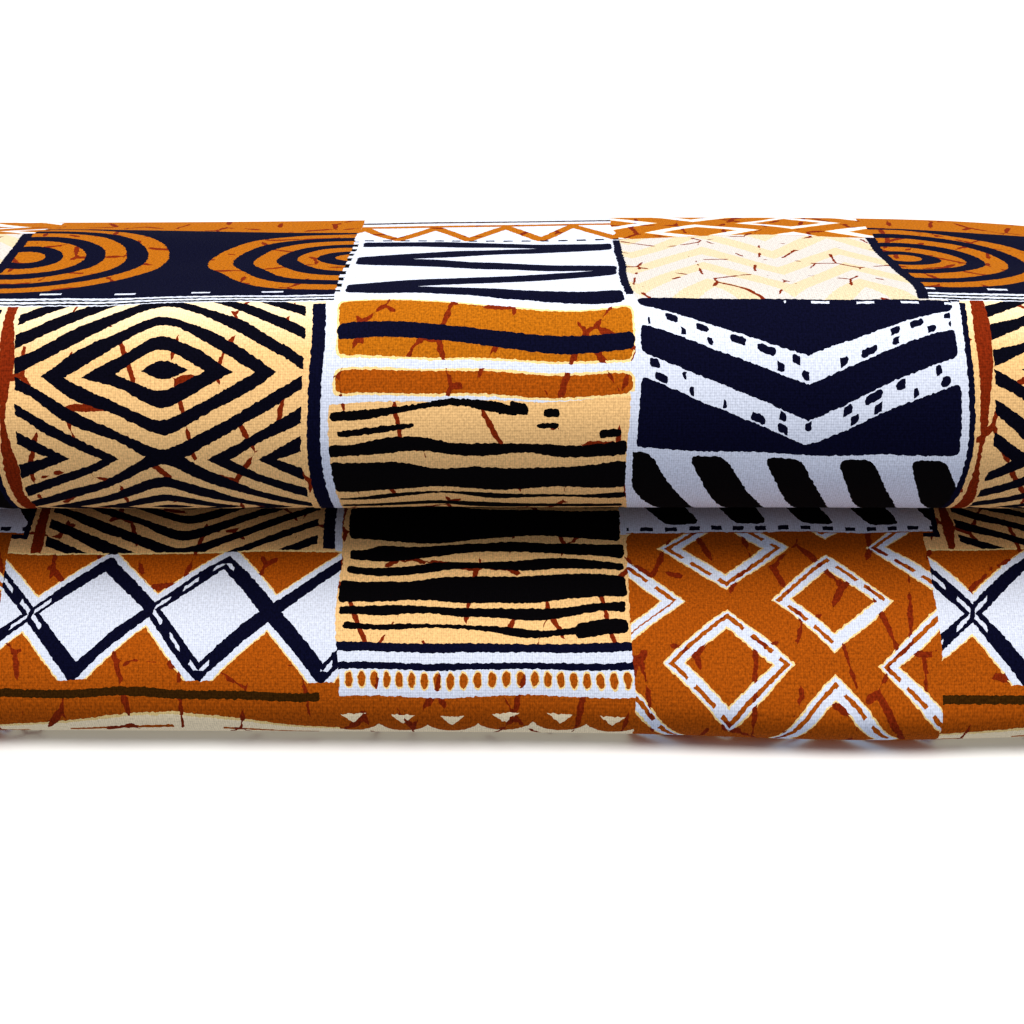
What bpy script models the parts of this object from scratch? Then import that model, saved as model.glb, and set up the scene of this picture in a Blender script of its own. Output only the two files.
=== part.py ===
"""Folded ankara cloth: a yard of printed cotton, doubled twice and laid back and forth in two rolls.

The cloth is one solid sheet. Its width is folded in four, which gives a slab of four plies, and the
slab then runs back and forth in eight passes, which make two soft rolls, one on the other. The solid
is the ply profile (across the cloth) carried along the fold path (along the cloth).

Every size is in millimetres until the mesh is made. X runs along the fold lines, the rolled front
looks towards -Y, +Z is up, and the origin is under the middle of the bounding box, on the surface.
"""

import math
from collections import namedtuple

import bmesh
import bpy
import numpy as np

MM = 0.001

# The cut length of cloth, one yard of a 45 inch width
CUT_LENGTH = 914.0
CLOTH_WIDTH = 1143.0

# The sheet and its plies
SHEET = 1.0
PLY_PITCH = 2.1
PLIES = 4
SLAB_HALF = ((PLIES - 1) * PLY_PITCH + SHEET) / 2

# Across the cloth, from the middle of the slab
DOUBLED_RIGHT = 139.8
INNER_SETBACK = 0.7
DOUBLED_LEFT = -140.5
SELVAGE_STEP = 0.6

# Heights of the slab's middle
TOTAL_HEIGHT = 77.0
FLOOR_PASS = SLAB_HALF
TOP_PASS = TOTAL_HEIGHT - SLAB_HALF

# The folds in the order in which the cloth runs. Reach is forward of the printed row line on top,
# height is above the surface. The cloth turns at "in", is furthest out at "crown", and straightens
# at "out". The two fullness columns are the lengths of the curve's handles before and after the
# crown, and 0.55 makes a round quarter.
Fold = namedtuple(
    "Fold",
    "name in_reach in_height crown_reach crown_height out_reach out_height in_full out_full steps",
)
FOLDS = (
    Fold("upper inner", -7.0, 52.4, -1.6, 57.6, -7.0, 62.8, 0.55, 0.55, 3),
    Fold("upper back", -77.0, 63.1, -82.9, 68.2, -77.0, TOP_PASS, 0.55, 0.55, 3),
    Fold("upper front", -8.5, TOP_PASS, 7.25, 57.6, -8.5, 41.85, 0.55, 0.55, 5),
    Fold("middle back", -107.8, 42.8, -113.4, 37.7, -107.8, 32.6, 0.55, 0.55, 3),
    Fold("lower front", -25.0, 33.55, 10.5, 9.4, 1.5, FLOOR_PASS, 0.46, 0.6, 5),
    Fold("floor back", -112.8, FLOOR_PASS, -118.4, 8.75, -112.8, 13.85, 0.55, 0.55, 3),
    Fold("lower inner", -13.5, 12.7, -8.2, 17.5, -13.5, 22.3, 0.55, 0.55, 3),
)
START_REACH = -86.0
START_HEIGHT = 53.0
FINISH_HEIGHT = 24.1
PASS_STEPS = 2
PASS_HANDLE = 1 / 3

# Steps across one ply and around the folds of the width
PLY_STEPS = 4
TIGHT_STEPS = 3
WIDE_STEPS = 5

# How unevenly it lies
FRONT_LEAN = 2.2
LEAN_FROM = -45.0
LEAN_TO = 15.0
TOP_RIPPLE = 0.7
RIPPLE_WAVE = 260.0
BACK_WANDER = 2.0
BACK_WAVE = 310.0
BACK_FROM = -60.0
BACK_TO = -100.0


def smooth(value, start, finish):
    """0 before start, 1 after finish, and 3q^2 - 2q^3 between them."""
    share = np.clip((value - start) / (finish - start), 0.0, 1.0)
    return share * share * (3 - 2 * share)


def bezier(first, last, first_handle, last_handle, steps):
    """Points of a cubic Bezier curve after its first point, up to its last one."""
    q = np.linspace(0.0, 1.0, steps + 1)[1:, None]
    b = np.add(first, first_handle)
    c = np.add(last, last_handle)
    return (1 - q) ** 3 * first + 3 * (1 - q) ** 2 * q * b + 3 * (1 - q) * q * q * c + q**3 * last


def turn(fold):
    """The two quarters of one fold: level into the crown, upright through it, level out of it."""
    start = np.array((fold.in_reach, fold.in_height))
    crown = np.array((fold.crown_reach, fold.crown_height))
    out = np.array((fold.out_reach, fold.out_height))
    into = (crown - start) * fold.in_full
    away = (out - crown) * fold.out_full
    first = bezier(start, crown, (into[0], 0), (0, -into[1]), fold.steps)
    second = bezier(crown, out, (0, away[1]), (-away[0], 0), fold.steps)
    return np.vstack((start, first, second))


def level_pass(start, finish):
    """A pass between two folds, level at both ends, without its end points."""
    handle = (finish[0] - start[0]) * PASS_HANDLE
    return bezier(start, finish, (handle, 0), (-handle, 0), PASS_STEPS)[:-1]


def length_of(points):
    """The length of the line through the points."""
    return float(np.linalg.norm(np.diff(points, axis=0), axis=1).sum())


def fold_path():
    """The slab's middle line, as (reach, height) rows, from one cut edge of the cloth to the other.

    The last pass takes what length the folds and the other passes leave.
    """
    turns = [turn(fold) for fold in FOLDS]
    start = np.array((START_REACH, START_HEIGHT))
    rows = [start, level_pass(start, turns[0][0]), turns[0]]
    for before, after in zip(turns, turns[1:]):
        rows += [level_pass(before[-1], after[0]), after]
    path = np.vstack(rows)
    spare = CUT_LENGTH - length_of(path)
    finish = np.array((path[-1, 0] - spare, FINISH_HEIGHT))
    return np.vstack((path, level_pass(path[-1], finish), finish))


def doubling(centre, side, start_offset, finish_offset, steps):
    """Half a circle that turns the ply back, as (across, offset) rows without its first point.

    It bulges towards side, which is 1 for the right and -1 for the left.
    """
    middle = (start_offset + finish_offset) / 2
    radius = abs(finish_offset - start_offset) / 2
    angles = np.linspace(0.0, math.pi, steps + 1)[1:]
    across = centre + side * radius * np.sin(angles)
    return np.column_stack((across, middle + (start_offset - middle) * np.cos(angles)))


def ply_profile():
    """The line of the cloth's width through the four plies, as (across, offset) rows.

    It starts at a selvage in the middle of the slab, doubles tightly at the right and at the left,
    runs over the outside, and doubles widely around the first fold to end under it.
    """
    tight = PLY_PITCH / 2
    wide = PLY_PITCH * 1.5
    inner_right = DOUBLED_RIGHT - INNER_SETBACK
    bends = math.pi * (2 * tight + wide)
    crossings = inner_right + DOUBLED_RIGHT - 2 * DOUBLED_LEFT
    free = (CLOTH_WIDTH - bends - crossings) / 2
    selvage_in = inner_right - free + SELVAGE_STEP
    selvage_under = DOUBLED_RIGHT - free - SELVAGE_STEP
    share = np.linspace(0.0, 1.0, PLY_STEPS + 1)[:, None]

    def ply(start, finish, offset):
        return np.hstack((start + (finish - start) * share, np.full_like(share, offset)))

    return np.vstack((
        ply(selvage_in, inner_right, -tight),
        doubling(inner_right, 1, -tight, tight, TIGHT_STEPS),
        ply(inner_right, DOUBLED_LEFT, tight)[1:],
        doubling(DOUBLED_LEFT, -1, tight, wide, TIGHT_STEPS),
        ply(DOUBLED_LEFT, DOUBLED_RIGHT, wide)[1:],
        doubling(DOUBLED_RIGHT, 1, wide, -wide, WIDE_STEPS),
        ply(DOUBLED_RIGHT, selvage_under, -wide)[1:],
    ))


def mitre_normals(points):
    """Normals to the left of the line, lengthened at each corner as a mitre is.

    The line plus a distance times these stays parallel to every straight between two points.
    """
    along = np.diff(points, axis=0)
    along /= np.linalg.norm(along, axis=1)[:, None]
    before = np.vstack((along[:1], along))
    after = np.vstack((along, along[-1:]))
    mean = before + after
    mean *= 2 / (mean**2).sum(axis=1)[:, None]
    return np.column_stack((-mean[:, 1], mean[:, 0]))


def uneven(across, reach, height):
    """How the cloth lies off its even shape: it leans, ripples and wanders, and stays flat below."""
    up = height / TOTAL_HEIGHT
    side = across / DOUBLED_RIGHT
    lean = FRONT_LEAN * side * smooth(reach, LEAN_FROM, LEAN_TO) * (1 - 0.6 * up)
    behind = smooth(-reach, -BACK_FROM, -BACK_TO)
    wander = BACK_WANDER * behind * np.sin(2 * math.pi * (across / BACK_WAVE + up))
    ripple = TOP_RIPPLE * np.sin(2 * math.pi * (across / RIPPLE_WAVE + 0.1)) * up * up
    return across, reach + lean + wander, height + ripple


def sheet_grid():
    """All points of the sheet's surface: one row for each place along the path, one column around it."""
    path = fold_path()
    out = mitre_normals(path)
    profile = ply_profile()
    half = mitre_normals(profile) * SHEET / 2
    outline = np.vstack((profile + half, (profile - half)[::-1]))
    across = np.broadcast_to(outline[:, 0], (len(path), len(outline)))
    reach = path[:, 0, None] + out[:, 0, None] * outline[None, :, 1]
    height = path[:, 1, None] + out[:, 1, None] * outline[None, :, 1]
    across, reach, height = uneven(across, reach, height)
    return np.stack((across, -reach, height), axis=2)


def standing_on_origin(points):
    """The points moved so that the origin is under the middle of their box, on the surface."""
    low = points.min(axis=(0, 1))
    high = points.max(axis=(0, 1))
    return points - np.array(((low[0] + high[0]) / 2, (low[1] + high[1]) / 2, low[2]))


def cloth_mesh(name):
    """The closed mesh of the sheet: a tube of quads along the path, closed at both cut edges."""
    points = standing_on_origin(sheet_grid()) * MM
    stations, around = points.shape[:2]
    shape = bmesh.new()
    rows = [[shape.verts.new(point) for point in row] for row in points]
    for row, following in zip(rows, rows[1:]):
        for place in range(around):
            beside = (place + 1) % around
            shape.faces.new((row[place], row[beside], following[beside], following[place]))
    for row in (rows[0], rows[-1]):
        for place in range(around // 2 - 1):
            across = around - 1 - place
            shape.faces.new((row[place], row[place + 1], row[across - 1], row[across]))
    bmesh.ops.recalc_face_normals(shape, faces=shape.faces)
    mesh = bpy.data.meshes.new(name)
    shape.to_mesh(mesh)
    shape.free()
    mesh.shade_smooth()
    mesh.set_sharp_from_angle(angle=math.radians(50))
    return mesh


def cotton():
    """Printed cotton: the print's mean orange, dull, without metal."""
    material = bpy.data.materials.new("printed_cotton")
    material.use_nodes = True
    shader = material.node_tree.nodes["Principled BSDF"]
    shader.inputs["Base Color"].default_value = (0.42, 0.17, 0.035, 1.0)
    shader.inputs["Roughness"].default_value = 0.8
    shader.inputs["Metallic"].default_value = 0.0
    return material


def clear_scene():
    """Removes every object that is there at the start."""
    for item in list(bpy.data.objects):
        bpy.data.objects.remove(item, do_unlink=True)


def build():
    """Makes the folded cloth."""
    clear_scene()
    cloth = bpy.data.objects.new("folded_cloth", cloth_mesh("folded_cloth"))
    cloth.data.materials.append(cotton())
    bpy.context.scene.collection.objects.link(cloth)


build()
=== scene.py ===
"""Looks of the folded ankara cloth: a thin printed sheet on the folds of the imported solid.

Sizes are in millimetres, and MM turns them into the frame's metres. X runs along the fold lines, the
rolled front looks towards -Y and Z is up. Across is X on the outer ply, and reach is how far forward a
place is of the printed row line on top.
"""

import logging
import math
from dataclasses import dataclass
from enum import Enum
from typing import Any, NamedTuple, Optional, Union

import bpy
import numpy as np
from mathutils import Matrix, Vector


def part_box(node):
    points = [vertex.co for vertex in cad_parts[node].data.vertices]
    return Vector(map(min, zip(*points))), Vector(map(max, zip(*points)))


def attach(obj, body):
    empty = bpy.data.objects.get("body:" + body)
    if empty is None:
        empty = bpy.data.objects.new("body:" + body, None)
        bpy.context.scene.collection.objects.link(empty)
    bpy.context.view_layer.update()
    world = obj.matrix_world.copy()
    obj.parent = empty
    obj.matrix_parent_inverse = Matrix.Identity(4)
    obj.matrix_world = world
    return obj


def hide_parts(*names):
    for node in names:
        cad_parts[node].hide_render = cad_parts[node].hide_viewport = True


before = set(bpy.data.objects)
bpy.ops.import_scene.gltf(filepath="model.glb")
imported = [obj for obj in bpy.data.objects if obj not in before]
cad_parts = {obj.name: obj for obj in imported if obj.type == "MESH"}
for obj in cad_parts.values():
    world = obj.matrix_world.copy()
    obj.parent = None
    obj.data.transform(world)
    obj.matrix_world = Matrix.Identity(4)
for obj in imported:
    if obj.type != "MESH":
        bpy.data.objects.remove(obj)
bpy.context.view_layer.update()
LOG = logging.getLogger("ankara")
MM = 0.001


def smooth(value: np.ndarray, start: float, finish: float) -> np.ndarray:
    """0 before start, 1 after finish, and 3q^2 - 2q^3 between them."""
    share = np.clip((value - start) / (finish - start), 0.0, 1.0)
    return share * share * (3 - 2 * share)


def bezier(
    first: np.ndarray, last: np.ndarray, first_handle: tuple, last_handle: tuple, steps: int
) -> np.ndarray:
    """Points of a cubic Bezier curve after its first point, up to its last one.

    Args:
        first: Where the curve starts.
        last: Where it ends.
        first_handle: From the start to the second control point.
        last_handle: From the end to the third control point.
        steps: How many points.

    Returns:
        One row for each point.
    """
    q = np.linspace(0.0, 1.0, steps + 1)[1:, None]
    b = np.add(first, first_handle)
    c = np.add(last, last_handle)
    return (1 - q) ** 3 * first + 3 * (1 - q) ** 2 * q * b + 3 * (1 - q) * q * q * c + q**3 * last


def arc_length(points: np.ndarray) -> np.ndarray:
    """How far along the line each of its points is, from 0 at the first."""
    return np.concatenate(([0.0], np.cumsum(np.linalg.norm(np.diff(points, axis=0), axis=1))))


def mitre_normals(points: np.ndarray) -> np.ndarray:
    """Normals to the left of the line, lengthened at each corner as a mitre is.

    With a and b the directions before and after a point, the normal is a + b turned a quarter to the
    left and divided so that its share across each direction is 1.
    """
    along = np.diff(points, axis=0)
    along /= np.linalg.norm(along, axis=1)[:, None]
    before = np.vstack((along[:1], along))
    after = np.vstack((along, along[-1:]))
    mean = before + after
    mean *= 2 / (mean**2).sum(axis=1)[:, None]
    return np.column_stack((-mean[:, 1], mean[:, 0]))


class Turn(NamedTuple):
    """One fold of the slab, and how finely it and the pass before it are cut."""

    name: str
    in_reach: float
    in_height: float
    crown_reach: float
    crown_height: float
    out_reach: float
    out_height: float
    in_full: float
    out_full: float
    steps: int
    pass_steps: int


@dataclass(frozen=True)
class FoldPath:
    """The slab's middle line, back and forth through both rolls, in (reach, height)."""

    cut_length: float = 914.0
    start_reach: float = -86.0
    start_height: float = 53.0
    finish_height: float = 24.1
    last_pass_steps: int = 8
    pass_handle: float = 1 / 3
    turns: tuple[Turn, ...] = (
        Turn("upper inner", -7.0, 52.4, -1.6, 57.6, -7.0, 62.8, 0.55, 0.55, 8, 8),
        Turn("upper back", -77.0, 63.1, -82.9, 68.2, -77.0, 73.35, 0.55, 0.55, 8, 8),
        Turn("upper front", -8.5, 73.35, 7.25, 57.6, -8.5, 41.85, 0.55, 0.55, 22, 26),
        Turn("middle back", -107.8, 42.8, -113.4, 37.7, -107.8, 32.6, 0.55, 0.55, 8, 12),
        Turn("lower front", -25.0, 33.55, 10.5, 9.4, 1.5, 3.65, 0.46, 0.6, 26, 14),
        Turn("floor back", -112.8, 3.65, -118.4, 8.75, -112.8, 13.85, 0.55, 0.55, 8, 10),
        Turn("lower inner", -13.5, 12.7, -8.2, 17.5, -13.5, 22.3, 0.55, 0.55, 8, 8),
    )

    @staticmethod
    def around(turn: Turn) -> np.ndarray:
        """The two quarters of a fold: level into the crown, upright through it, level out of it."""
        start = np.array((turn.in_reach, turn.in_height))
        crown = np.array((turn.crown_reach, turn.crown_height))
        out = np.array((turn.out_reach, turn.out_height))
        into = (crown - start) * turn.in_full
        away = (out - crown) * turn.out_full
        first = bezier(start, crown, (into[0], 0), (0, -into[1]), turn.steps)
        second = bezier(crown, out, (0, away[1]), (-away[0], 0), turn.steps)
        return np.vstack((start, first, second))

    def level_pass(self, start: np.ndarray, finish: np.ndarray, steps: int) -> np.ndarray:
        """A pass between two folds, level at both ends, without its end points."""
        handle = (finish[0] - start[0]) * self.pass_handle
        return bezier(start, finish, (handle, 0), (-handle, 0), steps)[:-1]

    def line(self) -> np.ndarray:
        """The whole middle line: every pass and fold in turn, the last pass taking the length left."""
        here = np.array((self.start_reach, self.start_height))
        rows = [here]
        for turn in self.turns:
            bend = self.around(turn)
            rows += [self.level_pass(here, bend[0], turn.pass_steps), bend]
            here = bend[-1]
        path = np.vstack(rows)
        spare = self.cut_length - arc_length(path)[-1]
        finish = np.array((here[0] - spare, self.finish_height))
        return np.vstack((path, self.level_pass(here, finish, self.last_pass_steps), finish))


@dataclass(frozen=True)
class PlyProfile:
    """The line of the cloth's width through the four plies, in (across, offset)."""

    width: float = 1143.0
    pitch: float = 2.1
    doubled_right: float = 139.8
    inner_setback: float = 0.7
    doubled_left: float = -140.5
    selvage_step: float = 0.6
    hidden_steps: int = 10
    outer_steps: int = 46
    under_steps: int = 20
    tight_steps: int = 5
    wide_steps: int = 9

    @staticmethod
    def ply(start: float, finish: float, offset: float, steps: int) -> np.ndarray:
        """A straight ply, steps + 1 points from start to finish."""
        across = np.linspace(start, finish, steps + 1)
        return np.column_stack((across, np.full_like(across, offset)))

    @staticmethod
    def doubling(centre: float, side: int, start: float, finish: float, steps: int) -> np.ndarray:
        """Half a circle that turns the ply back.

        Args:
            centre: The circle's middle, across.
            side: 1 where it bulges to the right and -1 to the left.
            start: The ply's offset before it.
            finish: The ply's offset after it.
            steps: How many points, without the first.

        Returns:
            The half circle's (across, offset) rows.
        """
        middle = (start + finish) / 2
        radius = abs(finish - start) / 2
        angles = np.linspace(0.0, math.pi, steps + 1)[1:]
        across = centre + side * radius * np.sin(angles)
        return np.column_stack((across, middle + (start - middle) * np.cos(angles)))

    def line(self) -> np.ndarray:
        """From the selvage inside, doubled tightly right and left, over the outside and under again."""
        tight = self.pitch / 2
        wide = self.pitch * 1.5
        inner_right = self.doubled_right - self.inner_setback
        bends = math.pi * (2 * tight + wide)
        crossings = inner_right + self.doubled_right - 2 * self.doubled_left
        free = (self.width - bends - crossings) / 2
        selvage_in = inner_right - free + self.selvage_step
        selvage_under = self.doubled_right - free - self.selvage_step
        few = self.hidden_steps
        return np.vstack((
            self.ply(selvage_in, inner_right, -tight, few),
            self.doubling(inner_right, 1, -tight, tight, self.tight_steps),
            self.ply(inner_right, self.doubled_left, tight, few)[1:],
            self.doubling(self.doubled_left, -1, tight, wide, self.tight_steps),
            self.ply(self.doubled_left, self.doubled_right, wide, self.outer_steps)[1:],
            self.doubling(self.doubled_right, 1, wide, -wide, self.wide_steps),
            self.ply(self.doubled_right, selvage_under, -wide, self.under_steps)[1:],
        ))

    def flat_across(self, line: np.ndarray) -> np.ndarray:
        """How far across the flat cloth each point is, counted so that it equals X on the outer ply."""
        walked = arc_length(line)
        outer = np.isclose(line[:, 1], self.pitch * 1.5)
        first = np.flatnonzero(outer)[0]
        return walked - walked[first] + line[first, 0]


class Crease(NamedTuple):
    """A soft trough (negative depth) or ridge, by its middle, its direction and its size.

    Along is reach on top, and height on the front and back. The angle is from the fold line.
    """

    across: float
    along: float
    angle: float
    length: float
    width: float
    depth: float


@dataclass(frozen=True)
class Lie:
    """How unevenly the cloth lies: the solid's lean and ripples, and the main creases."""

    total_height: float = 77.0
    half_width: float = 139.8
    front_lean: float = 2.2
    lean_from: float = -45.0
    lean_to: float = 15.0
    less_lean_above: float = 0.6
    top_ripple: float = 0.7
    ripple_wave: float = 260.0
    back_wander: float = 2.0
    back_wave: float = 310.0
    back_from: float = -60.0
    back_to: float = -100.0
    belly: float = 2.7
    belly_middle: float = 62.0
    belly_half: float = 30.0
    belly_reaches: tuple[float, float] = (-25.0, 10.0)
    belly_heights: tuple[float, float] = (4.0, 16.0)
    top_heights: tuple[float, float] = (58.0, 72.0)
    front_reaches: tuple[float, float] = (-30.0, 6.0)
    back_depths: tuple[float, float] = (66.0, 84.0)
    top_creases: tuple[Crease, ...] = (
        Crease(-90.0, -52.0, 0.0, 40.0, 17.0, 2.4),
        Crease(-38.0, -30.0, -18.0, 30.0, 8.0, 0.5),
        Crease(12.0, -52.0, 8.0, 26.0, 9.0, -0.5),
        Crease(58.0, -60.0, -10.0, 30.0, 12.0, 0.7),
        Crease(96.0, -34.0, 24.0, 30.0, 9.0, -0.7),
        Crease(126.0, -70.0, -14.0, 26.0, 20.0, -2.4),
        Crease(130.0, -54.0, 0.0, 24.0, 13.0, 1.2),
    )
    front_creases: tuple[Crease, ...] = (
        Crease(-112.0, 58.0, 8.0, 26.0, 6.0, 0.5),
        Crease(-74.0, 66.0, -6.0, 34.0, 5.0, -0.45),
        Crease(-22.0, 54.0, 4.0, 30.0, 5.0, 0.4),
        Crease(24.0, 64.0, -12.0, 26.0, 5.0, -0.4),
        Crease(52.0, 47.0, 10.0, 26.0, 4.0, 0.5),
        Crease(88.0, 58.0, -20.0, 24.0, 5.0, -0.55),
        Crease(-64.0, 22.0, 32.0, 18.0, 3.5, -0.4),
        Crease(-52.0, 25.0, 38.0, 16.0, 3.5, 0.35),
        Crease(-14.0, 20.0, -8.0, 30.0, 4.0, 0.4),
        Crease(30.0, 17.0, 14.0, 24.0, 4.5, -0.45),
        Crease(64.0, 23.0, -10.0, 28.0, 4.5, 0.5),
        Crease(108.0, 20.0, 16.0, 24.0, 5.0, -0.6),
    )
    back_creases: tuple[Crease, ...] = (
        Crease(-70.0, 66.0, 4.0, 40.0, 7.0, 0.8),
        Crease(40.0, 36.0, -6.0, 44.0, 6.0, -0.8),
        Crease(84.0, 12.0, 5.0, 36.0, 6.0, 0.7),
    )

    @staticmethod
    def mound(crease: Crease, across: np.ndarray, along: np.ndarray) -> np.ndarray:
        """The crease's height: depth times e to the minus squares of the places along and beside it."""
        turn = math.radians(crease.angle)
        dx = across - crease.across
        dy = along - crease.along
        beside = (dy * math.cos(turn) - dx * math.sin(turn)) / crease.width
        onward = (dx * math.cos(turn) + dy * math.sin(turn)) / crease.length
        return crease.depth * np.exp(-(beside**2) - onward**2)

    def apply(
        self, across: np.ndarray, reach: np.ndarray, height: np.ndarray
    ) -> tuple[np.ndarray, np.ndarray, np.ndarray]:
        """Moves the even shape's points to where the cloth lies.

        The lean, wander and ripple are the solid's own, and the belly is a bulge of the lower roll. A
        crease on top lifts or lowers the cloth and fades out below. One on the front or back pushes it
        out or in and fades out behind.

        Args:
            across: Places along the fold lines.
            reach: Places forward of the row line.
            height: Heights above the surface.

        Returns:
            The moved across, reach and height.
        """
        up = height / self.total_height
        side = across / self.half_width
        towards_front = smooth(reach, self.lean_from, self.lean_to)
        lean = self.front_lean * side * towards_front * (1 - self.less_lean_above * up)
        behind = smooth(-reach, -self.back_from, -self.back_to)
        wander = self.back_wander * behind * np.sin(2 * math.pi * (across / self.back_wave + up))
        ripple = self.top_ripple * np.sin(2 * math.pi * (across / self.ripple_wave + 0.1)) * up * up
        bulge = np.exp(-(((across - self.belly_middle) / self.belly_half) ** 2))
        low_front = smooth(reach, *self.belly_reaches) * (1 - smooth(height, *self.belly_heights))
        forward = lean + wander + self.belly * bulge * low_front
        rise = ripple.copy()
        on_top = smooth(height, *self.top_heights)
        in_front = smooth(reach, *self.front_reaches)
        at_back = smooth(-reach, *self.back_depths)
        for crease in self.top_creases:
            rise += self.mound(crease, across, reach) * on_top
        for crease in self.front_creases:
            forward += self.mound(crease, across, height) * in_front
        for crease in self.back_creases:
            forward -= self.mound(crease, across, height) * at_back
        return across, reach + forward, height + rise


@dataclass(frozen=True)
class ClothSheet:
    """The whole cloth as one thin sheet: the ply profile carried along the fold path."""

    path: FoldPath = FoldPath()
    profile: PlyProfile = PlyProfile()
    lie: Lie = Lie()
    thickness: float = 0.5
    row_line: float = 255.9
    sharp_degrees: float = 60.0

    def even_points(self) -> tuple[np.ndarray, np.ndarray, np.ndarray, np.ndarray, np.ndarray]:
        """The sheet's surface as a grid: a row for each place on the path, a column around the sheet.

        A point is the path's point plus its normal times the profile's offset. The outline runs along
        the printed side of the profile and back along its reverse.

        Returns:
            Across, reach and height of every point, the print's place along the cloth for each row,
            and the print's place across it for each column.
        """
        path = self.path.line()
        out = mitre_normals(path)
        line = self.profile.line()
        half = mitre_normals(line) * self.thickness / 2
        outline = np.vstack((line + half, (line - half)[::-1]))
        flat = self.profile.flat_across(line)
        across = np.broadcast_to(outline[:, 0], (len(path), len(outline)))
        reach = path[:, 0, None] + out[:, 0, None] * outline[None, :, 1]
        height = path[:, 1, None] + out[:, 1, None] * outline[None, :, 1]
        along = arc_length(path) - self.row_line
        return across, reach, height, along, np.concatenate((flat, flat[::-1]))

    def points(self) -> tuple[np.ndarray, np.ndarray, np.ndarray]:
        """The grid in the frame, on the middle of the solid's box and on the floor.

        Returns:
            The points in metres, and the print's places along and across the cloth in millimetres.
        """
        across, reach, height, along, flat = self.even_points()
        low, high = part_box("folded_cloth")
        across, reach, height = self.lie.apply(across, reach, height)
        plain = np.stack((across, -reach, height), axis=2) * MM
        corner = plain.min(axis=(0, 1))
        middle = (corner + plain.max(axis=(0, 1))) / 2
        target = (Vector(low) + Vector(high)) / 2
        shift = np.array((target.x - middle[0], target.y - middle[1], -corner[2]))
        return plain + shift, along, flat

    @staticmethod
    def faces(stations: int, around: int) -> np.ndarray:
        """Corner numbers of the quads: a tube along the path, and a strip that closes each cut edge."""
        row = np.arange(stations - 1)[:, None] * around
        place = np.arange(around)[None, :]
        beside = (place + 1) % around
        tube = np.stack(
            (row + place, row + beside, row + around + beside, row + around + place), axis=2
        ).reshape(-1, 4)
        near = np.arange(around // 2 - 1)
        far = around - 1 - near
        first = np.stack((near + 1, near, far, far - 1), axis=1)
        last = first[:, ::-1] + (stations - 1) * around
        return np.vstack((tube, first, last))

    @staticmethod
    def signed_volume(points: np.ndarray, quads: np.ndarray) -> float:
        """A sixth of the sum, over the triangles, of the triple product of their corners."""
        total = 0.0
        for b, c in ((1, 2), (2, 3)):
            cross = np.cross(points[quads[:, b]], points[quads[:, c]])
            total += float((points[quads[:, 0]] * cross).sum()) / 6
        return total

    def mesh(self, name: str) -> bpy.types.Mesh:
        """The closed mesh of the sheet, with the print's places as its UV map."""
        points, along, flat = self.points()
        stations, around = points.shape[:2]
        flat_points = points.reshape(-1, 3)
        quads = self.faces(stations, around)
        if self.signed_volume(flat_points, quads) < 0:
            quads = quads[:, ::-1]
        mesh = bpy.data.meshes.new(name)
        mesh.from_pydata(flat_points.tolist(), [], quads.tolist())
        corners = np.empty(len(mesh.loops), dtype=np.int64)
        mesh.loops.foreach_get("vertex_index", corners)
        places = np.column_stack((flat[corners % around], along[corners // around])) * MM
        uv_map = mesh.uv_layers.new(name="print")
        uv_map.data.foreach_set("uv", places.astype(np.float32).ravel())
        reverse = mesh.attributes.new("reverse", "FLOAT", "POINT")
        side = (np.arange(stations * around) % around >= around // 2).astype(np.float32)
        reverse.data.foreach_set("value", side)
        mesh.validate()
        mesh.shade_smooth()
        mesh.set_sharp_from_angle(angle=math.radians(self.sharp_degrees))
        return mesh

    def build(self) -> None:
        """Puts the sheet in the scene and dresses it."""
        cloth = bpy.data.objects.new("ankara_sheet", self.mesh("ankara_sheet"))
        bpy.context.scene.collection.objects.link(cloth)
        cloth.data.materials.append(AnkaraPrint().material())
        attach(cloth, "root")
        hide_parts("folded_cloth")
        LOG.info("%s: %d faces", cloth.name, len(cloth.data.polygons))


def linear(red: int, green: int, blue: int) -> tuple[float, float, float, float]:
    """A colour given as 0 to 255 on a screen, as the shader's linear values."""
    shares = (channel / 255 for channel in (red, green, blue))
    parts = (s / 12.92 if s <= 0.04045 else ((s + 0.055) / 1.055) ** 2.4 for s in shares)
    return (*parts, 1.0)


class Ink(Enum):
    """The colours of the print, with a lit copy of the orange that paints light on the tops of the rolls.
    """

    NAVY = linear(13, 14, 39)
    BLACK = linear(8, 6, 9)
    PITCH = linear(11, 10, 24)
    ORANGE = linear(164, 84, 16)
    # A lit copy of ORANGE, lighter and yellower: painted light for the orange on top of the rolls.
    LIT_ORANGE = linear(174, 104, 20)
    CREAM = linear(232, 189, 131)
    WHITE = linear(210, 215, 228)
    STRAW = linear(236, 208, 146)
    OLIVE = linear(62, 38, 8)
    RUST = linear(124, 44, 14)
    # A pale cream of the print, also painted over the cream as a highlight near the top of the upper
    # roll.
    HAZE = linear(244, 226, 190)
    SHELL = linear(211, 196, 163)
    IVORY = linear(206, 200, 193)
    CLOTH = linear(226, 212, 184)


Number = Union[float, "Field"]


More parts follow.
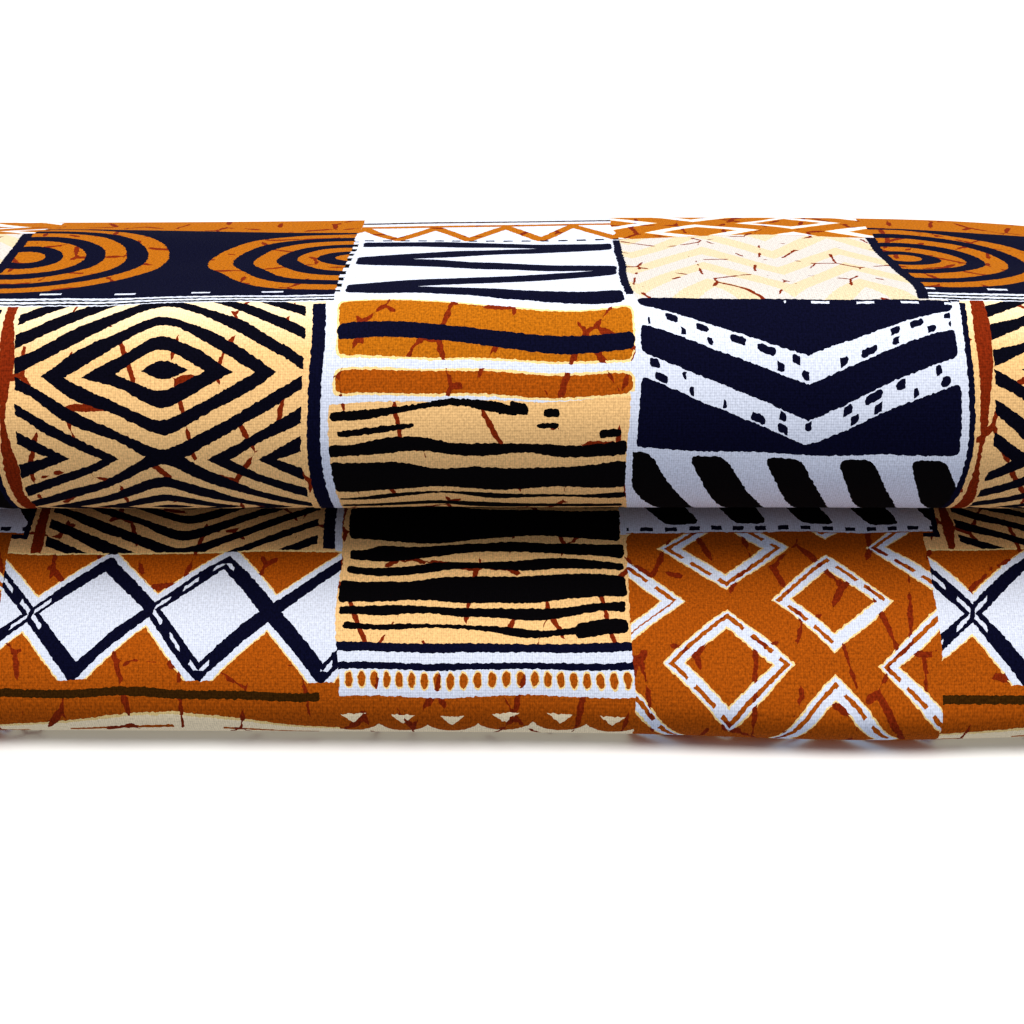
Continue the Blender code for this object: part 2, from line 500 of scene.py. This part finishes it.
class Field:
    """A number that varies over the cloth: an output socket, with maths that adds Math nodes."""

    def __init__(self, bench: "Bench", socket: bpy.types.NodeSocket) -> None:
        """Wraps a socket of the bench's material."""
        self.bench = bench
        self.socket = socket

    def math(self, operation: str, *others: Number) -> "Field":
        """This number and the others through one Math node."""
        return self.bench.math(operation, self, *others)

    def __add__(self, other: Number) -> "Field":
        """The sum."""
        return self.math("ADD", other)

    __radd__ = __add__

    def __sub__(self, other: Number) -> "Field":
        """This less the other."""
        return self.math("SUBTRACT", other)

    def __rsub__(self, other: Number) -> "Field":
        """The other less this."""
        return self.bench.math("SUBTRACT", other, self)

    def __mul__(self, other: Number) -> "Field":
        """The product."""
        return self.math("MULTIPLY", other)

    __rmul__ = __mul__

    def __truediv__(self, other: Number) -> "Field":
        """This over the other."""
        return self.math("DIVIDE", other)

    def __lt__(self, other: Number) -> "Field":
        """1 where this is below the other, and 0 elsewhere."""
        return self.math("LESS_THAN", other)

    def __gt__(self, other: Number) -> "Field":
        """1 where this is above the other, and 0 elsewhere."""
        return self.math("GREATER_THAN", other)

    def __and__(self, other: "Field") -> "Field":
        """1 where both masks are 1."""
        return self.math("MULTIPLY", other)

    def __or__(self, other: "Field") -> "Field":
        """1 where either mask is 1."""
        return self.math("MAXIMUM", other)

    def __abs__(self) -> "Field":
        """The size without its sign."""
        return self.math("ABSOLUTE")

    def scaled(self, factor: Number, plus: Number) -> "Field":
        """This times the factor, plus the other number."""
        return self.math("MULTIPLY_ADD", factor, plus)

    def least(self, other: Number) -> "Field":
        """The smaller of the two."""
        return self.math("MINIMUM", other)

    def most(self, other: Number) -> "Field":
        """The larger of the two."""
        return self.math("MAXIMUM", other)

    def round_most(self, other: Number, radius: float) -> "Field":
        """The larger of the two, rounded over the radius where they are alike."""
        return self.math("SMOOTH_MAX", other, radius)

    def wrapped(self, low: Number, high: Number) -> "Field":
        """This, moved by whole repeats into the range from low to high."""
        return self.math("WRAP", high, low)

    def folded(self, scale: float) -> "Field":
        """Distance to the nearest even multiple of scale: up from 0 to scale and down again."""
        return self.math("PINGPONG", scale)

    def within(self, low: float, high: float) -> "Field":
        """1 between low and high, and 0 elsewhere."""
        return self.math("COMPARE", (low + high) / 2, (high - low) / 2)


class Bench:
    """Adds the nodes of one material."""

    def __init__(self, material: bpy.types.Material) -> None:
        """Empties the material's node tree."""
        material.use_nodes = True
        self.tree = material.node_tree
        self.tree.nodes.clear()

    def node(
        self, kind: str, settings: Optional[dict[str, Any]] = None, sockets: Optional[dict] = None
    ) -> bpy.types.Node:
        """One node.

        Args:
            kind: The node's type.
            settings: Its options, set before its sockets.
            sockets: A value, a Field or a socket for each input, by name or number.

        Returns:
            The new node.
        """
        made = self.tree.nodes.new(kind)
        for name, value in (settings or {}).items():
            setattr(made, name, value)
        for name, value in (sockets or {}).items():
            source = value.socket if isinstance(value, Field) else value
            if isinstance(source, bpy.types.NodeSocket):
                self.tree.links.new(source, made.inputs[name])
            else:
                made.inputs[name].default_value = source
        return made

    def math(self, operation: str, *values: Number) -> Field:
        """A Math node on the values."""
        made = self.node("ShaderNodeMath", {"operation": operation}, dict(enumerate(values)))
        return Field(self, made.outputs[0])

    def vector_math(self, operation: str, *values: Any) -> bpy.types.NodeSocket:
        """A Vector Math node on the values, and its vector."""
        made = self.node("ShaderNodeVectorMath", {"operation": operation}, dict(enumerate(values)))
        return made.outputs[0]

    def split(self, vector: bpy.types.NodeSocket) -> tuple[Field, Field, Field]:
        """The three parts of a vector."""
        made = self.node("ShaderNodeSeparateXYZ", None, {0: vector})
        return Field(self, made.outputs[0]), Field(self, made.outputs[1]), Field(self, made.outputs[2])

    def noise(self, place: bpy.types.NodeSocket, scale: float, detail: float) -> bpy.types.Node:
        """Flat noise over the place, with scale features in each unit."""
        settings = {"noise_dimensions": "2D", "normalize": True}
        sockets = {"Vector": place, "Scale": scale, "Detail": detail, "Roughness": 0.6}
        return self.node("ShaderNodeTexNoise", settings, sockets)

    def mix(self, factor: Number, below: Any, above: Any, blend: str = "MIX") -> Any:
        """A Mix node on two colours: above by the factor, and below for the rest."""
        settings = {"data_type": "RGBA", "blend_type": blend, "clamp_factor": False}
        made = self.node("ShaderNodeMix", settings, {0: factor, 6: below, 7: above})
        return made.outputs[2]


class Painting:
    """A colour that is painted over, one ink after the other, inside a frame."""

    def __init__(self, bench: Bench, ground: Any) -> None:
        """Starts on the ground's colour."""
        self.bench = bench
        self.colour = ground
        self.frame: Optional[Field] = None

    def paint(self, ink: Ink, mask: Field) -> None:
        """Lays the ink where the mask is 1, and only inside the frame."""
        if self.frame is not None:
            mask = mask & self.frame
        self.colour = self.bench.mix(mask, self.colour, ink.value)

    def rimmed(self, ink: Ink, distance: Field, rim: Ink = Ink.STRAW, width: float = 0.35) -> None:
        """Lays the ink where the distance is below 0, with a rim of another ink around it."""
        self.paint(rim, distance < width)
        self.paint(ink, distance < 0.0)


class Band(NamedTuple):
    """A stripe across a block, from one place along the cloth to another."""

    low: float
    high: float
    left: float
    right: float


class Stroke(NamedTuple):
    """A straight pen stroke over a block's width, by its places along the cloth at both sides."""

    left: float
    right: float
    half: float


class Column(NamedTuple):
    """A column of printed blocks, between two places across the cloth."""

    left: float
    right: float

    @property
    def centre(self) -> float:
        """The middle, across."""
        return (self.left + self.right) / 2


class Spot(NamedTuple):
    """Where on the design a point is, and how hard the pen presses there."""

    u: Field
    v: Field
    left: Field
    press: Field
    plain_u: Field
    flat: bpy.types.NodeSocket
    moved: bpy.types.NodeSocket


@dataclass(frozen=True)
class AnkaraPrint:
    """The print and weave of the cloth: blocks of geometric motifs, each drawn by its own rule.

    Across (u) and along (v) are in millimetres on the flat cloth.
    """

    repeat_across: float = 162.5
    repeat_along: float = 215.6
    first_row: float = -74.0
    rings_column: Column = Column(-86.0, -29.1)
    stripes_column: Column = Column(-29.1, 21.6)
    chevron_column: Column = Column(21.6, 76.5)
    nested_end: float = 49.3
    stripes_start: float = 16.6
    bars_start: float = 24.2
    lattice_start: float = 44.6
    tail_start: float = 139.0
    sway_size: float = 30.0
    sway: tuple[float, float, float] = (3.2, 2.8, 0.0)
    fray_size: float = 0.9
    fray: tuple[float, float, float] = (0.5, 0.42, 0.0)
    press_size: float = 15.0
    yarn: float = 0.38
    speckle_size: float = 0.42
    cloth_left: float = -567.0
    margin: float = 9.0
    reverse_paler: float = 0.22
    roughness: float = 0.82
    sheen: float = 0.04
    bump_strength: float = 0.17
    bump_height: float = 0.00012

    def places(self, bench: Bench) -> Spot:
        """Where on the design a point is, with the wander of a hand-cut block."""
        source = bench.node("ShaderNodeUVMap", {"uv_map": "print"})
        flat = bench.vector_math("SCALE", source.outputs[0])
        flat.node.inputs["Scale"].default_value = 1 / MM
        slow = bench.noise(flat, 1 / self.sway_size, 1.0)
        fine = bench.noise(flat, 1 / self.fray_size, 1.0)
        centre = (0.5, 0.5, 0.5)
        sway = bench.vector_math("SUBTRACT", slow.outputs["Color"], centre)
        fray = bench.vector_math("SUBTRACT", fine.outputs["Color"], centre)
        moved = bench.vector_math("MULTIPLY_ADD", sway, self.sway, flat)
        moved = bench.vector_math("MULTIPLY_ADD", fray, self.fray, moved)
        u, v, _ = bench.split(moved)
        plain_u, _, _ = bench.split(flat)
        press = Field(bench, bench.noise(flat, 1 / self.press_size, 1.0).outputs[0]) - 0.5
        v = v.wrapped(self.first_row, self.first_row + self.repeat_along)
        seam = (v < 0.0).scaled(-4.9, self.chevron_column.right) - 2.0 * (v > 45.0)
        left = seam - self.repeat_across
        return Spot(u.wrapped(left, seam), v, left, press, plain_u, flat, moved)

    def rings(self, art: Painting, spot: Spot) -> None:
        """Half circles of orange from both side edges, on navy, over a row of lines and dashes."""
        u, v = spot.u, spot.v
        art.paint(Ink.NAVY, v < 0.0)
        middle_row, ring_pitch, outermost, lowest = 32.0, 7.6, 27.0, -4.4
        beside = (u - spot.left - 2.2).least(self.rings_column.right + 1.4 - u)
        deep = v + middle_row
        reach = (beside * beside + deep * deep).math("SQRT")
        bands = (reach + 0.4).wrapped(0.0, ring_pitch) < spot.press.scaled(1.5, 4.0)
        # The rings on top are painted in the lit copy of orange: painted light.
        art.paint(Ink.LIT_ORANGE, bands & (reach < outermost) & (v < lowest))
        art.paint(Ink.WHITE, v.within(-5.2, -4.1) & (u.wrapped(-67.0, -54.0) < -63.4))
        art.paint(Ink.WHITE, v.within(-2.5, 0.0))
        art.paint(Ink.BLACK, v.within(-1.8, -1.35) | v.within(-0.75, -0.3))

    def nested_lozenges(self, art: Painting, spot: Spot) -> None:
        """Two lozenges of nested black lines on cream, with halves of such lozenges at both sides, and a
        painted highlight that pales the cream near the top of the roll.

        A place's distance is |across| over the half width plus |along| over the half height. It is 0 in
        a lozenge's middle, 1 on its outline and 2 in the middle of the halves beside it.
        """
        u, v = spot.u, spot.v
        block = v.within(0.0, self.nested_end)
        a = u - self.rings_column.centre
        art.paint(Ink.CREAM, block)
        # Painted highlight: the cream turns paler towards the top of the upper roll, where the light
        # falls.
        painted_highlight = v.scaled(-0.1, 0.95).least(0.75).most(0.0)
        art.paint(Ink.HAZE, block & painted_highlight)
        half_width, half_height, rounding = 24.6, 12.3, 5.0
        rounded = (a * a + rounding).math("SQRT")
        along = (v - half_height).folded(half_height)
        distance = rounded.scaled(1 / half_width, along * (1 / half_height))
        lines = distance.wrapped(0.0, 1 / 3) < spot.press.scaled(0.19, 0.175)
        art.paint(Ink.PITCH, lines & block & a.within(-24.2, 23.8))
        art.paint(Ink.RUST, block & a.within(-26.6, spot.press.scaled(4.0, -24.9)))
        art.paint(Ink.NAVY, v.within(0.8, 48.6) & a.within(24.9, 27.1))
        art.paint(Ink.NAVY, v.within(0.8, 46.0) & (a < -27.5))
        art.paint(Ink.WHITE, block & (a > 27.1))

    def chain(self, art: Painting, spot: Spot) -> None:
        """Orange teeth above and below, and two black zigzags that cross into white lozenges."""
        u, v = spot.u, spot.v
        half_wave, middle_row, half_height = 10.45, 60.9, 12.0
        art.paint(Ink.WHITE, v.within(self.nested_end, 72.0))
        middle = v - middle_row
        skewed = middle.scaled(0.2, u + 61.4)
        wide = skewed.folded(half_wave)
        tall = abs(middle) * 1.1
        teeth = wide.scaled(1.0, 3.6 - tall)
        art.rimmed(Ink.ORANGE, teeth.most(self.nested_end + 0.1 - v))
        off_line = abs(tall - wide)
        art.paint(Ink.NAVY, (off_line < spot.press.scaled(1.2, 1.65)) & (tall < half_height))
        slots = (off_line < 0.45) & (wide.wrapped(0.4, 4.6) < 2.6) & (skewed.wrapped(0.0, 31.0) < 14.0)
        art.paint(Ink.WHITE, slots & (tall < 10.0))

    def chain_foot(self, art: Painting, spot: Spot) -> None:
        """An orange strip with an olive line, cut below by shallow cream gables with thin lines."""
        u, v = spot.u, spot.v
        a = u - self.rings_column.centre
        art.paint(Ink.ORANGE, v.within(71.5, 110.0))
        art.paint(Ink.OLIVE, v.within(72.8, 74.0) & (a < 25.0))
        gable = v - abs(a).scaled(0.085, 75.8)
        art.rimmed(Ink.HAZE, 0.0 - gable, Ink.STRAW, 0.4)
        thin = gable.wrapped(0.0, 7.5).within(1.5, 2.1) & (u.wrapped(0.0, 25.0) < 17.0)
        art.paint(Ink.ORANGE, thin & (gable > 0.0))

    def tail(self, art: Painting, spot: Spot) -> None:
        """The blocks that the rolls hide: navy with small lozenges, then an orange strip."""
        u, v = spot.u, spot.v
        art.paint(Ink.NAVY, v.within(103.0, 141.0))
        small = u.folded(5.0) + v.folded(5.0)
        art.paint(Ink.CREAM, v.within(105.0, 139.0) & small.within(2.6, 3.8))
        # The orange strip is painted in the lit copy of orange: painted light on the top.
        art.paint(Ink.LIT_ORANGE, (v > 141.0) | (v < -60.0))

    @staticmethod
    def dip(b: Field) -> Field:
        """How far the lines between the zigzag and the stripes hang: a sine of the place across."""
        return b.scaled(0.12, -0.1).math("SINE").scaled(1.2, 0.5)

    def zigzag(self, art: Painting, spot: Spot) -> None:
        """A navy zigzag of long, nearly level strokes on white, with a toothed and a plain side."""
        u, v = spot.u, spot.v
        b = u - self.stripes_column.centre
        art.paint(Ink.WHITE, v < self.stripes_start)
        half = 23.6
        strokes = (
            Stroke(-46.6, -45.6, 2.9),
            Stroke(-29.2, -44.6, 3.0),
            Stroke(-28.6, -21.6, 2.8),
            Stroke(-7.0, -18.4, 2.7),
            Stroke(-5.6, -1.9, 2.0),
        )
        dipped = v - self.dip(b)
        for stroke in strokes:
            slope = (stroke.right - stroke.left) / (2 * half)
            middle = b.scaled(slope, (stroke.left + stroke.right) / 2)
            thick = abs(dipped - middle) - spot.press.scaled(2.0, stroke.half)
            art.paint(Ink.NAVY, thick.round_most(abs(b) - half, 1.6) < 0.0)
        art.paint(Ink.NAVY, b.within(24.0, 26.2) & v.within(-50.0, -1.0))
        art.paint(Ink.WHITE, (b < -24.4) & (v < 0.0))
        art.paint(Ink.BLACK, (b < -24.5) & (v.wrapped(0.0, 5.2) < 2.6) & v.within(-50.0, -4.0))

    def stripes(self, art: Painting, spot: Spot) -> None:
        """Orange, navy and white bands over cream with uneven black stripes of many widths."""
        u, v = spot.u, spot.v
        b = u - self.stripes_column.centre
        art.paint(Ink.CREAM, v.within(self.stripes_start, 68.0))
        tilted = b.scaled(-0.024, v)
        sag = self.dip(b)
        ends = abs(b) - 24.5
        upper = (sag + 0.75 - tilted).round_most(tilted - 10.9, 2.4).round_most(ends, 2.4)
        lower = (abs(tilted - 14.3) - 1.5).round_most(ends, 2.4)
        art.rimmed(Ink.ORANGE, upper.least(lower))
        # The upper orange band, near the top of the roll, is painted in the lit copy of orange: painted
        # light.
        art.paint(Ink.LIT_ORANGE, upper < 0.0)
        navy = (abs(tilted - sag.scaled(0.8, 7.1)) - 1.4).round_most(ends - 0.3, 2.0)
        art.paint(Ink.NAVY, navy < 0.0)
        bands = (
            Band(17.0, 18.2, -25.0, 6.0),
            Band(16.4, 18.0, 4.6, 7.8),
            Band(16.5, 18.1, 9.6, 12.6),
            Band(18.6, 20.2, 8.2, 12.6),
            Band(20.2, 21.2, -24.0, -11.0),
            Band(20.4, 21.6, 19.0, 23.0),
            Band(22.4, 24.2, -25.4, 24.0),
            Band(25.8, 30.8, -25.4, 24.0),
            Band(32.2, 33.2, -25.4, 24.0),
            Band(35.2, 37.0, -25.4, 23.5),
            Band(38.4, 46.8, -24.0, 24.0),
            Band(48.0, 50.4, -24.0, 24.6),
            Band(51.6, 53.3, -24.4, 24.6),
            Band(54.6, 58.8, -25.0, 24.8),
            Band(59.9, 61.7, -24.6, 24.6),
            Band(63.2, 64.2, -24.0, 18.0),
            Band(62.9, 64.7, 16.0, 25.0),
        )
        place = art.bench.node("ShaderNodeCombineXYZ", None, {0: b * 0.034, 1: v * 0.13}).outputs[0]
        swell = Field(art.bench, art.bench.noise(place, 1.0, 1.0).outputs[0])
        drawn = swell.scaled(4.4, v - 2.2)
        for band in bands:
            thick = abs(drawn - (band.low + band.high) / 2) - (band.high - band.low) / 2
            ends = abs(b - (band.left + band.right) / 2) - (band.right - band.left) / 2
            art.paint(Ink.BLACK, thick.round_most(ends, 1.2) < spot.press)
        art.paint(Ink.WHITE, v.within(16.0, 45.0) & (b > 24.2))

    def teeth(self, art: Painting, spot: Spot) -> None:
        """A navy line, a row of small orange teeth on white, and a scalloped orange strip."""
        u, v = spot.u, spot.v
        art.paint(Ink.WHITE, v.within(67.2, 73.5))
        art.paint(Ink.NAVY, v.within(65.8, 67.2) | v.within(68.8, 69.8))
        half_pitch, tooth_row, tooth_radius = 1.14, 71.25, 0.66
        tooth = u.folded(half_pitch)
        deep = (v - tooth_row) * 0.62
        oval = (tooth * tooth + deep * deep).math("SQRT") - tooth_radius
        art.rimmed(Ink.ORANGE, oval, Ink.STRAW, 0.16)
        art.paint(Ink.ORANGE, v.within(73.5, 95.0))
        across = u.folded(4.45)
        scallop = v - (across * across).scaled(-0.085, 78.7)
        art.paint(Ink.HAZE, (scallop > 0.0) & (v < 95.0))
        art.paint(Ink.HAZE, (v > 75.7) & (across.scaled(0.6, v - 77.0) < 0.0))
        crossed = abs(u.folded(4.0) - v.folded(4.0))
        art.paint(Ink.BLACK, v.within(95.0, self.tail_start) & (crossed < 0.8))
        art.paint(Ink.WHITE, (v > self.tail_start) | (v < -50.6))
        art.paint(Ink.OLIVE, v.within(-70.6, -69.2))

    def upper_border(self, art: Painting, spot: Spot) -> None:
        """An orange zigzag strip on white, over a row of navy dashes."""
        u, v = spot.u, spot.v
        zigzag = abs(u.folded(6.95).scaled(-1.7, v + 64.0)) - 2.4
        # The zigzag strip on top is painted in the lit copy of orange: painted light.
        art.paint(Ink.LIT_ORANGE, (v < -50.9) & ((zigzag < 0.0) | v.within(-66.6, -64.6)))
        art.paint(Ink.NAVY, v.within(-51.6, -50.5) & (u.wrapped(0.0, 3.4) < 1.7))

    def rays(self, art: Painting, spot: Spot) -> None:
        """Pale fans on cream, with a navy line at the right."""
        u, v = spot.u, spot.v
        c = u - self.chevron_column.centre
        art.paint(Ink.SHELL, v < 0.6)
        fan_half, fan_pitch = 13.0, 15.0
        turned = c.folded(fan_half).scaled(1.5, v).wrapped(0.0, fan_pitch)
        art.paint(Ink.IVORY, (turned < 8.0) & (v < 0.6))
        art.paint(Ink.NAVY, (u > spot.left + (self.repeat_across - 1.9)) & (v < 0.5))

    def chevrons(self, art: Painting, spot: Spot) -> None:
        """Navy with two white chevron bands full of small dashes, between white side margins."""
        u, v = spot.u, spot.v
        c = u - self.chevron_column.centre
        art.paint(Ink.WHITE, v.within(0.5, self.bars_start))
        fall = abs(c - 0.8).scaled(0.31, v)
        sides = (abs(c + 0.4) - 26.6).round_most(abs(v - 12.2) - 11.8, 1.2)
        for middle, half in ((3.0, 7.7), (16.7, 2.3), (31.0, 8.6)):
            art.paint(Ink.NAVY, (abs(fall - middle) - half).round_most(sides, 1.8) < 0.0)
        art.paint(Ink.WHITE, v.within(0.9, 1.5) & (u.wrapped(0.0, 7.4) < 3.0) & (c > -2.0))
        dash_pitch = 5.2
        for top, bottom in ((10.7, 14.4), (19.0, 22.4)):
            lane = fall - (top + bottom) / 2
            row = lane.math("SIGN")
            walked = row.scaled(1.9, u + top)
            cell = (walked / dash_pitch).math("FLOOR")
            seed = art.bench.node(
                "ShaderNodeTexWhiteNoise", {"noise_dimensions": "1D"}, {"W": row.scaled(31.0, cell + top)}
            )
            chance = Field(art.bench, seed.outputs["Value"])
            along = walked.folded(dash_pitch / 2) - chance.scaled(1.5, 0.25)
            dash = along.round_most(abs(abs(lane) - 0.85) - 0.62, 1.0)
            art.paint(Ink.NAVY, (dash < 0.0) & (chance > 0.22) & (abs(c) < 25.6))

    def bars(self, art: Painting, spot: Spot) -> None:
        """Black slanted bars on white over a row of navy dashes."""
        u, v = spot.u, spot.v
        art.paint(Ink.WHITE, v.within(self.bars_start, self.lattice_start))
        lean = v.scaled(-0.52, u - 21.1)
        swell = abs(v - 34.0).scaled(0.07, -3.6)
        half_pitch, middle_row, half_height = 6.1, 33.6, 8.9
        ends = abs(v - middle_row) - half_height
        bar = (lean.folded(half_pitch) + swell).round_most(ends, 2.2)
        art.paint(Ink.BLACK, bar < 0.0)
        art.paint(Ink.NAVY, v.within(43.1, 44.1) & (u.wrapped(0.0, 4.0) < 1.9))

    def lattice(self, art: Painting, spot: Spot) -> None:
        """White lozenge frames with broken thin lines in them, on orange.

        The distance is that of the nested lozenges, for the nearer of two staggered rows.
        """
        u, v = spot.u, spot.v
        art.paint(Ink.ORANGE, v > self.lattice_start)
        # On top of the roll the orange is painted in its lit copy: painted light.
        art.paint(Ink.LIT_ORANGE, v < -50.7)
        wave_across, wave_along, half_width, half_height = 18.25, 10.4, 11.0, 8.5
        across = (u - 38.0).folded(wave_across)
        along = (v - 48.3).folded(wave_along)
        near = across.scaled(1 / half_width, along * (1 / half_height))
        edge = near.least(wave_across / half_width + wave_along / half_height - near)
        ring = abs(edge - 0.84) - spot.press.scaled(0.16, 0.155)
        body = v.within(44.8, 110.0) | (v > self.tail_start) | (v < -50.9)
        art.paint(Ink.STRAW, (ring < 0.035) & body)
        art.paint(Ink.WHITE, (ring < 0.0) & body)
        broken = v.scaled(1.3, u).wrapped(0.0, 9.0) < 6.6
        art.paint(Ink.ORANGE, edge.within(0.83, 0.93) & broken & v.within(44.8, 110.0))
        art.paint(Ink.NAVY, v.within(110.0, self.tail_start))
        dot = u.folded(4.0) + v.folded(4.0)
        art.paint(Ink.WHITE, v.within(111.0, 138.0) & (dot < 1.3))

    def rust(self, bench: Bench, colour: Any, spot: Spot) -> Any:
        """Sparse rust-brown strokes over the warm inks, as the cracks of a wax print are."""
        stretched = bench.vector_math("MULTIPLY", spot.moved, (1.0, 0.7, 1.0))
        cell_size, patch_size, bare_share, widest = 9.0, 7.0, 0.46, 0.056
        settings = {"voronoi_dimensions": "2D", "feature": "DISTANCE_TO_EDGE"}
        sockets = {"Vector": stretched, "Scale": 1 / cell_size, "Randomness": 1.0}
        cells = bench.node("ShaderNodeTexVoronoi", settings, sockets)
        edge = Field(bench, cells.outputs["Distance"])
        patch = Field(bench, bench.noise(spot.flat, 1 / patch_size, 2.0).outputs[0])
        parts = bench.node("ShaderNodeSeparateColor", None, {0: colour}).outputs
        blue = Field(bench, parts[2])
        cracked = edge < ((patch - bare_share) * 0.5).least(widest) - blue * 0.06
        warm = (blue < 0.55) & (Field(bench, parts[0]) > 0.2)
        return bench.mix(cracked & warm, colour, Ink.RUST.value)

    def weave(self, bench: Bench, colour: Any, spot: Spot) -> tuple[Any, Field]:
        """Yarns: ribs along the cloth, speckled brighter and darker.

        Returns:
            The colour with the yarns' light and dark, and the weave's height.
        """
        u, v, _ = bench.split(spot.flat)
        turn = 2 * math.pi / self.yarn
        warp = (u * turn).math("SINE")
        weft = (v * turn).math("SINE")
        speckle = Field(bench, bench.noise(spot.flat, 1 / self.speckle_size, 1.0).outputs[0]) - 0.5
        green = Field(bench, bench.node("ShaderNodeSeparateColor", None, {0: colour}).outputs[1])
        uneven = green.scaled(-1.0, 1.15) * speckle
        warp_light, weft_light = 0.06, 0.03
        tone = warp.scaled(warp_light, weft.scaled(weft_light, uneven + 1.0))
        height = warp.scaled(0.5, weft.scaled(0.35, speckle))
        grey = bench.node("ShaderNodeCombineColor", None, {0: tone, 1: tone, 2: tone}).outputs[0]
        return bench.mix(1.0, colour, grey, "MULTIPLY"), height

    def material(self) -> bpy.types.Material:
        """The whole finish on a Principled shader."""
        made = bpy.data.materials.new("ankara_print")
        bench = Bench(made)
        spot = self.places(bench)
        art = Painting(bench, Ink.CREAM.value)
        art.frame = spot.u < self.rings_column.right
        for motif in (self.rings, self.nested_lozenges, self.chain, self.chain_foot, self.tail):
            motif(art, spot)
        art.frame = spot.u.within(self.stripes_column.left, self.stripes_column.right)
        for motif in (self.zigzag, self.stripes, self.teeth, self.upper_border):
            motif(art, spot)
        art.frame = spot.u > self.chevron_column.left
        for motif in (self.rays, self.chevrons, self.bars, self.lattice):
            motif(art, spot)
        art.frame = None
        cloth_right = self.cloth_left + PlyProfile().width
        edge = (spot.plain_u - self.cloth_left).least(cloth_right - spot.plain_u)
        art.paint(Ink.CLOTH, edge < self.margin)
        colour = self.rust(bench, art.colour, spot)
        back = bench.node("ShaderNodeAttribute", {"attribute_name": "reverse"})
        paler = Field(bench, back.outputs["Fac"]) * self.reverse_paler
        colour = bench.mix(paler, colour, Ink.CLOTH.value)
        colour, height = self.weave(bench, colour, spot)
        relief = {"Strength": self.bump_strength, "Distance": self.bump_height, "Height": height}
        bump = bench.node("ShaderNodeBump", None, relief)
        finish = {
            "Base Color": colour,
            "Roughness": self.roughness,
            "Metallic": 0.0,
            "Specular IOR Level": self.sheen,
            "Normal": bump.outputs[0],
        }
        shader = bench.node("ShaderNodeBsdfPrincipled", None, finish)
        bench.node("ShaderNodeOutputMaterial", None, {0: shader.outputs[0]})
        LOG.info("%s: %d nodes", made.name, len(bench.tree.nodes))
        return made


@dataclass(frozen=True)
class Studio:
    """The pale floor, the soft lights and the camera."""

    floor_side: float = 4.0
    camera_ahead: float = 330.0
    camera_height: float = 147.7
    camera_down: float = 18.19
    camera_turn: float = 0.26
    focal: float = 70.3
    key_strength: float = 3.1
    key_width: float = 50.0
    key_forward: float = 16.0
    key_side: float = -6.0
    surround: float = 0.47
    floor_shade: float = 0.74

    def floor(self) -> None:
        """A plain pale floor under the cloth."""
        half = self.floor_side / 2
        corners = [(-half, -half, 0), (half, -half, 0), (half, half, 0), (-half, half, 0)]
        mesh = bpy.data.meshes.new("floor")
        mesh.from_pydata(corners, [], [(0, 1, 2, 3)])
        pale = bpy.data.materials.new("pale_floor")
        bench = Bench(pale)
        shader = bench.node(
            "ShaderNodeBsdfPrincipled",
            None,
            {"Base Color": (*[self.floor_shade] * 3, 1.0), "Roughness": 0.9, "Specular IOR Level": 0.1},
        )
        bench.node("ShaderNodeOutputMaterial", None, {0: shader.outputs[0]})
        mesh.materials.append(pale)
        floor = bpy.data.objects.new("floor", mesh)
        bpy.context.scene.collection.objects.link(floor)
        floor.visible_diffuse = False

    def lights(self) -> None:
        """One wide soft key light from above, a little from the front, and a pale cool surround."""
        light = bpy.data.lights.new("key", "SUN")
        light.angle = math.radians(self.key_width)
        light.energy = self.key_strength
        light.color = (1.0, 0.97, 0.91)
        lamp = bpy.data.objects.new("key", light)
        lamp.location = (0.0, 0.0, 1.0)
        lamp.rotation_euler = (math.radians(self.key_forward), math.radians(self.key_side), 0.0)
        bpy.context.scene.collection.objects.link(lamp)
        world = bpy.data.worlds.new("surround")
        world.use_nodes = True
        backdrop = world.node_tree.nodes["Background"]
        backdrop.inputs["Color"].default_value = (0.91, 0.955, 1.08, 1.0)
        backdrop.inputs["Strength"].default_value = self.surround
        bpy.context.scene.world = world

    def camera(self, row_line: float) -> None:
        """The camera at the photograph's angle.

        Args:
            row_line: Where the printed row line on top is, along Y, in metres.
        """
        lens = bpy.data.cameras.new("camera")
        lens.lens = self.focal
        lens.sensor_width = 36.0
        lens.clip_start = 0.01
        camera = bpy.data.objects.new("camera", lens)
        ahead = row_line - self.camera_ahead * MM
        camera.location = Vector((0.0, ahead, self.camera_height * MM))
        camera.rotation_euler = (
            math.radians(90.0 - self.camera_down), 0.0, -math.radians(self.camera_turn)
        )
        bpy.context.scene.collection.objects.link(camera)
        bpy.context.scene.camera = camera


def main() -> None:
    """Builds the cloth, then the floor, the lights and the camera."""
    logging.basicConfig(level=logging.INFO, format="%(name)s %(message)s")
    sheet = ClothSheet()
    sheet.build()
    across, reach, height, _, _ = sheet.even_points()
    _, moved, _ = sheet.lie.apply(across, reach, height)
    low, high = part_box("folded_cloth")
    row_line = (low.y + high.y) / 2 + (moved.max() + moved.min()) / 2 * MM
    studio = Studio()
    studio.floor()
    studio.lights()
    studio.camera(row_line)
    bpy.context.scene.view_settings.view_transform = "Standard"
    bpy.context.scene.view_settings.look = "Medium High Contrast"


if __name__ == "__main__":
    main()
